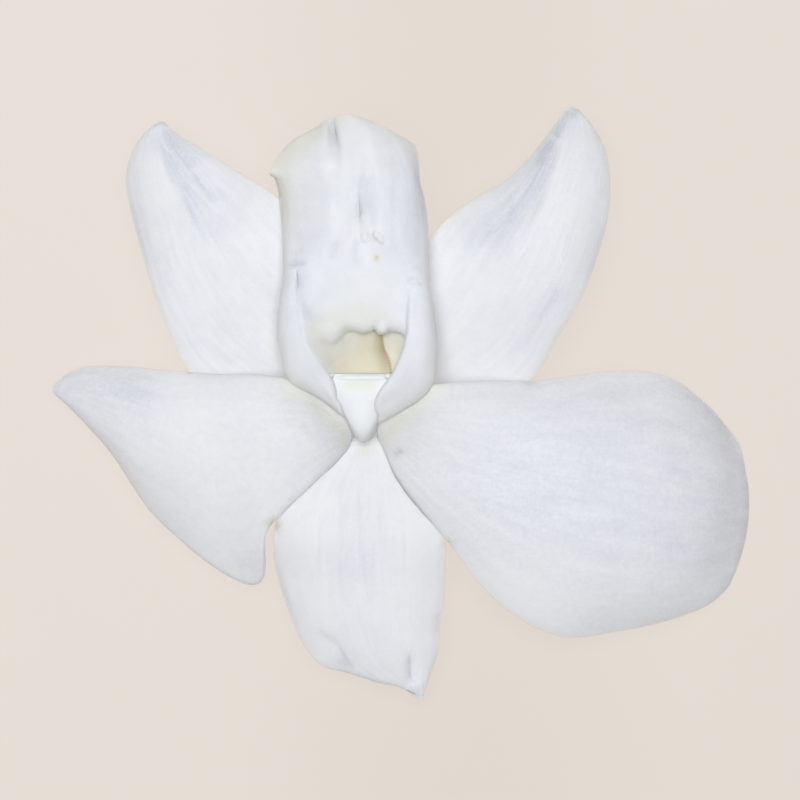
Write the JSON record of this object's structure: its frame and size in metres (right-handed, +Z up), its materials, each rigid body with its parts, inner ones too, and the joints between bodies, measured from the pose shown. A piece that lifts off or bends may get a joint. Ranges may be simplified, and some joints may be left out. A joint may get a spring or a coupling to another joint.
{
  "type": "preserved dendrobium orchid flower",
  "caption": "White orchid flower head lying on its back: domed petals, pointed sepals and a long lip whose side lobes stand round a short column.",
  "frame": {"origin": "on the surface that the flower lies on, under the middle of its outline", "axes": "+Z up out of the flower's face, +Y along the lip from the column to its tip, +X across the two petals towards the broad one"},
  "size_m": [0.065, 0.055, 0.0155],
  "materials": {
    "petal_tissue": "matte",
    "sepal_tissue": "matte",
    "lip_tissue": "matte",
    "column_tissue": "satin",
    "cap_tissue": "satin",
    "pollen_wax": "satin",
    "stalk_tissue": "matte"
  },
  "bodies": {
    "root": {"petal_right": "petal_tissue", "petal_left": "petal_tissue", "sepal_dorsal": "sepal_tissue", "sepal_lateral_left": "sepal_tissue", "sepal_lateral_right": "sepal_tissue", "lip": "lip_tissue", "column": "column_tissue", "anther_cap": "cap_tissue", "pollinium_1": "pollen_wax", "pollinium_2": "pollen_wax", "pollinium_3": "pollen_wax", "pollinium_4": "pollen_wax", "pedicel": "stalk_tissue"}
  },
  "joints": []
}
